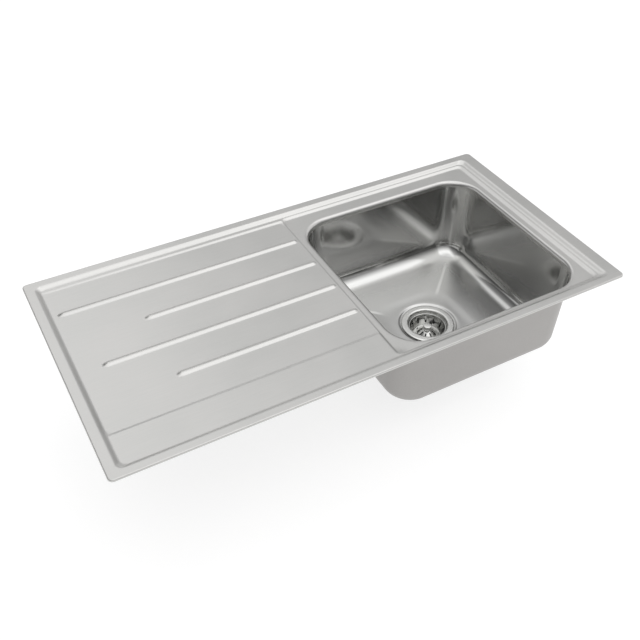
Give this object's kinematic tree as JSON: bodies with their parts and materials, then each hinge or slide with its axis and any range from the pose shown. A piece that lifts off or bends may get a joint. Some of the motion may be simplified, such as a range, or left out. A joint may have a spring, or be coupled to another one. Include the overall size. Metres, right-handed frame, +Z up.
{
  "type": "kitchen sink with drainboard",
  "caption": "Inset stainless steel kitchen sink with a ribbed drainer on the left, a deep square bowl on the right and a basket strainer waste.",
  "frame": {"origin": "centre of the worktop cut-out in plan, on the plane of the worktop's top surface", "axes": "+X along the sink from the drainer to the bowl, +Y from the front edge to the rear, +Z up out of the worktop"},
  "size_m": [1, 0.5, 0.2934],
  "materials": {
    "pressed_steel": "fine brushed stainless sheet",
    "drawn_steel": "satin drawn stainless steel",
    "polished_steel": "polished stainless steel",
    "seal_foam": "closed-cell foam strip",
    "deadening_pad": "matt sound-deadening sheet",
    "black_rubber": "moulded rubber",
    "white_plastic": "moulded polypropylene",
    "brass": "turned brass",
    "zinc_plate": "zinc-plated steel"
  },
  "bodies": {
    "sink": {"deck": "pressed_steel", "bowl": "drawn_steel", "rim_seal": "seal_foam", "bowl_pad": "deadening_pad", "drainer_pad": "deadening_pad", "earth_tag": "pressed_steel", "flange_gasket": "black_rubber", "pot_gasket": "black_rubber", "strainer_cup": "polished_steel", "waste_pot": "white_plastic", "pot_insert": "brass", "clamp_screw": "polished_steel", "clip_bracket_1": "zinc_plate", "clip_bolt_1": "zinc_plate", "clip_bracket_2": "zinc_plate", "clip_bolt_2": "zinc_plate", "clip_bracket_3": "zinc_plate", "clip_bolt_3": "zinc_plate", "clip_bracket_4": "zinc_plate", "clip_bolt_4": "zinc_plate", "clip_bracket_5": "zinc_plate", "clip_bolt_5": "zinc_plate", "clip_bracket_6": "zinc_plate", "clip_bolt_6": "zinc_plate", "clip_bracket_7": "zinc_plate", "clip_bolt_7": "zinc_plate", "clip_bracket_8": "zinc_plate", "clip_bolt_8": "zinc_plate"},
    "basket": {"basket": "polished_steel", "basket_seal": "black_rubber", "basket_knob": "polished_steel"},
    "clip_nut_1": {"clip_nut_1": "zinc_plate"},
    "clip_arm_1": {"clip_arm_1": "zinc_plate"},
    "clip_nut_2": {"clip_nut_2": "zinc_plate"},
    "clip_arm_2": {"clip_arm_2": "zinc_plate"},
    "clip_nut_3": {"clip_nut_3": "zinc_plate"},
    "clip_arm_3": {"clip_arm_3": "zinc_plate"},
    "clip_nut_4": {"clip_nut_4": "zinc_plate"},
    "clip_arm_4": {"clip_arm_4": "zinc_plate"},
    "clip_nut_5": {"clip_nut_5": "zinc_plate"},
    "clip_arm_5": {"clip_arm_5": "zinc_plate"},
    "clip_nut_6": {"clip_nut_6": "zinc_plate"},
    "clip_arm_6": {"clip_arm_6": "zinc_plate"},
    "clip_nut_7": {"clip_nut_7": "zinc_plate"},
    "clip_arm_7": {"clip_arm_7": "zinc_plate"},
    "clip_nut_8": {"clip_nut_8": "zinc_plate"},
    "clip_arm_8": {"clip_arm_8": "zinc_plate"}
  },
  "joints": [
    {"name": "basket_lift", "type": "slide", "parent": "sink", "child": "basket", "axis": [0, 0, 1], "range_m": [0, 0.26]},
    {"name": "clip_nut_1_travel", "type": "slide", "parent": "sink", "child": "clip_nut_1", "axis": [0, 0, 1], "range_m": [-0.014, 0]},
    {"name": "clip_arm_1_swing", "type": "hinge", "parent": "clip_nut_1", "child": "clip_arm_1", "pos_m": [-0.42, -0.2, -0.026], "axis": [0, 0, 1], "range_deg": [0, 90]},
    {"name": "clip_nut_2_travel", "type": "slide", "parent": "sink", "child": "clip_nut_2", "axis": [0, 0, 1], "range_m": [-0.014, 0]},
    {"name": "clip_arm_2_swing", "type": "hinge", "parent": "clip_nut_2", "child": "clip_arm_2", "pos_m": [-0.2395, -0.2, -0.026], "axis": [0, 0, 1], "range_deg": [0, 90]},
    {"name": "clip_nut_3_travel", "type": "slide", "parent": "sink", "child": "clip_nut_3", "axis": [0, 0, 1], "range_m": [-0.014, 0]},
    {"name": "clip_arm_3_swing", "type": "hinge", "parent": "clip_nut_3", "child": "clip_arm_3", "pos_m": [-0.059, -0.2, -0.026], "axis": [0, 0, 1], "range_deg": [0, 90]},
    {"name": "clip_nut_4_travel", "type": "slide", "parent": "sink", "child": "clip_nut_4", "axis": [0, 0, 1], "range_m": [-0.014, 0]},
    {"name": "clip_arm_4_swing", "type": "hinge", "parent": "clip_nut_4", "child": "clip_arm_4", "pos_m": [-0.42, 0.2, -0.026], "axis": [0, 0, 1], "range_deg": [0, 90]},
    {"name": "clip_nut_5_travel", "type": "slide", "parent": "sink", "child": "clip_nut_5", "axis": [0, 0, 1], "range_m": [-0.014, 0]},
    {"name": "clip_arm_5_swing", "type": "hinge", "parent": "clip_nut_5", "child": "clip_arm_5", "pos_m": [-0.15, 0.2, -0.026], "axis": [0, 0, 1], "range_deg": [0, 90]},
    {"name": "clip_nut_6_travel", "type": "slide", "parent": "sink", "child": "clip_nut_6", "axis": [0, 0, 1], "range_m": [-0.014, 0]},
    {"name": "clip_arm_6_swing", "type": "hinge", "parent": "clip_nut_6", "child": "clip_arm_6", "pos_m": [0.33, 0.2, -0.026], "axis": [0, 0, 1], "range_deg": [0, 90]},
    {"name": "clip_nut_7_travel", "type": "slide", "parent": "sink", "child": "clip_nut_7", "axis": [0, 0, 1], "range_m": [-0.014, 0]},
    {"name": "clip_arm_7_swing", "type": "hinge", "parent": "clip_nut_7", "child": "clip_arm_7", "pos_m": [-0.45, 0, -0.026], "axis": [0, 0, 1], "range_deg": [0, 90]},
    {"name": "clip_nut_8_travel", "type": "slide", "parent": "sink", "child": "clip_nut_8", "axis": [0, 0, 1], "range_m": [-0.014, 0]},
    {"name": "clip_arm_8_swing", "type": "hinge", "parent": "clip_nut_8", "child": "clip_arm_8", "pos_m": [0.45, 0, -0.026], "axis": [0, 0, 1], "range_deg": [0, 90]}
  ]
}
